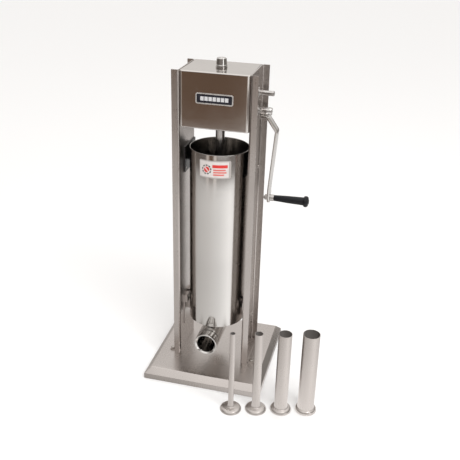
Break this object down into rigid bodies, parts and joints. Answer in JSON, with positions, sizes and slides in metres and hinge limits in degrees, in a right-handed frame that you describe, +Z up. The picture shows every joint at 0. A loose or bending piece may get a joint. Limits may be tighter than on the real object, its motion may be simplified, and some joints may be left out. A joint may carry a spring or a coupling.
{
  "type": "sausage stuffer",
  "caption": "Upright hand-cranked sausage stuffer: open steel cylinder with spout and ring nut, rack-driven piston, geared head on channel columns, base, loose stuffing tubes.",
  "frame": {"origin": "on the resting surface, at the middle of the base and under the cylinder's axis", "axes": "+Z up along the piston rod, -Y the front where the spout points, +X the side with the crank"},
  "size_m": [0.4462, 0.3855, 0.8],
  "materials": {
    "satin_sheet": "satin polished",
    "mirror_sheet": "bright annealed",
    "dark_cast": "black stove enamel",
    "polished_steel": "bright polished",
    "machined_steel": "turned and milled",
    "fastener_steel": "plain",
    "guide_nylon": "matt",
    "grip_plastic": "moulded",
    "seal_rubber": "matt",
    "mat_rubber": "matt",
    "nameplate_metal": "printed black with a bare rim",
    "label_vinyl": "printed"
  },
  "bodies": {
    "stand": {"base_tray": "satin_sheet", "base_bottom_plate": "satin_sheet", "rubber_mat": "mat_rubber", "right_column": "satin_sheet", "left_column": "satin_sheet", "foot_plates": "satin_sheet", "foot_bolts": "fastener_steel", "foot_nuts": "fastener_steel", "gearbox_hood": "mirror_sheet", "gearbox_rear_cover": "mirror_sheet", "rear_cover_lugs": "machined_steel", "rear_cover_screws": "fastener_steel", "gearbox_floor_plate": "satin_sheet", "nameplate": "nameplate_metal", "top_guide_bush": "machined_steel", "bottom_guide_bush": "machined_steel", "rack_guide_bar": "machined_steel", "rack_guide_pad": "guide_nylon", "fast_shaft_bushes": "machined_steel", "slow_shaft_bushes": "machined_steel", "cylinder_shell": "polished_steel", "cylinder_bottom": "polished_steel", "outlet_neck": "polished_steel", "cylinder_pins": "machined_steel", "right_lower_bracket": "satin_sheet", "left_lower_bracket": "satin_sheet", "right_upper_bracket": "dark_cast", "left_upper_bracket": "dark_cast", "saddle_pads": "mat_rubber", "bracket_bolts": "fastener_steel", "warning_label": "label_vinyl"},
    "ring_nut": {"ring_nut": "polished_steel"},
    "piston_rod": {"rack_rod": "machined_steel", "rod_cap": "machined_steel", "piston_top_plate": "polished_steel", "piston_seal": "seal_rubber", "piston_bottom_plate": "polished_steel", "piston_lock_nut": "fastener_steel", "valve_cage": "machined_steel", "valve_spring": "machined_steel"},
    "air_valve": {"valve_stem": "machined_steel"},
    "fast_shaft": {"fast_shaft": "machined_steel", "fast_shaft_keys": "machined_steel", "fast_shaft_collars": "machined_steel", "rack_pinion": "machined_steel", "large_gear": "machined_steel"},
    "slow_shaft_crank": {"slow_shaft": "machined_steel", "slow_shaft_collars": "machined_steel", "slow_pinion": "machined_steel", "crank_hub": "machined_steel", "crank_set_screw": "fastener_steel", "crank_arm": "polished_steel", "grip_spindle": "machined_steel", "grip_ferrule": "machined_steel"},
    "grip": {"grip": "grip_plastic", "grip_end_plug": "grip_plastic"},
    "stuffing_tube_a": {"stuffing_tube_a": "satin_sheet"},
    "stuffing_tube_b": {"stuffing_tube_b": "satin_sheet"},
    "stuffing_tube_c": {"stuffing_tube_c": "satin_sheet"},
    "stuffing_tube_d": {"stuffing_tube_d": "satin_sheet"}
  },
  "joints": [
    {"name": "crank_turn", "type": "hinge", "parent": "stand", "child": "slow_shaft_crank", "pos_m": [0, 0.0235, 0.681], "axis": [1, 0, 0], "range_deg": [0, 4500]},
    {"name": "fast_shaft_turn", "type": "hinge", "parent": "stand", "child": "fast_shaft", "pos_m": [0, 0.0235, 0.723], "axis": [1, 0, 0], "range_deg": [-1500.2, 0.1]},
    {"name": "piston_rise", "type": "slide", "parent": "stand", "child": "piston_rod", "axis": [0, 0, 1], "range_m": [0, 0.4582]},
    {"name": "air_valve_lift", "type": "slide", "parent": "piston_rod", "child": "air_valve", "axis": [0, 0, 1], "range_m": [0, 0.0035], "stiffness_N_per_m": 500, "springref_m": -0.004, "deforming": ["valve_spring"]},
    {"name": "grip_turn", "type": "hinge", "parent": "slow_shaft_crank", "child": "grip", "pos_m": [0.168, 0.0235, 0.468], "axis": [1, 0, 0], "continuous": true},
    {"name": "ring_nut_turn", "type": "hinge", "parent": "stand", "child": "ring_nut", "pos_m": [0, -0.097, 0.103], "axis": [0, 1, 0], "continuous": true},
    {"name": "tube_a_lift_off", "type": "slide", "parent": "stand", "child": "stuffing_tube_a", "axis": [0, 0, 1], "range_m": [0, 0.3]},
    {"name": "tube_b_lift_off", "type": "slide", "parent": "stand", "child": "stuffing_tube_b", "axis": [0, 0, 1], "range_m": [0, 0.3]},
    {"name": "tube_c_lift_off", "type": "slide", "parent": "stand", "child": "stuffing_tube_c", "axis": [0, 0, 1], "range_m": [0, 0.3]},
    {"name": "tube_d_lift_off", "type": "slide", "parent": "stand", "child": "stuffing_tube_d", "axis": [0, 0, 1], "range_m": [0, 0.3]}
  ],
  "couplings": [
    {"joint": "fast_shaft_turn", "follows": "crank_turn", "ratio": -0.33333},
    {"joint": "piston_rise", "follows": "crank_turn", "m_per_rad": 0.0058333}
  ]
}
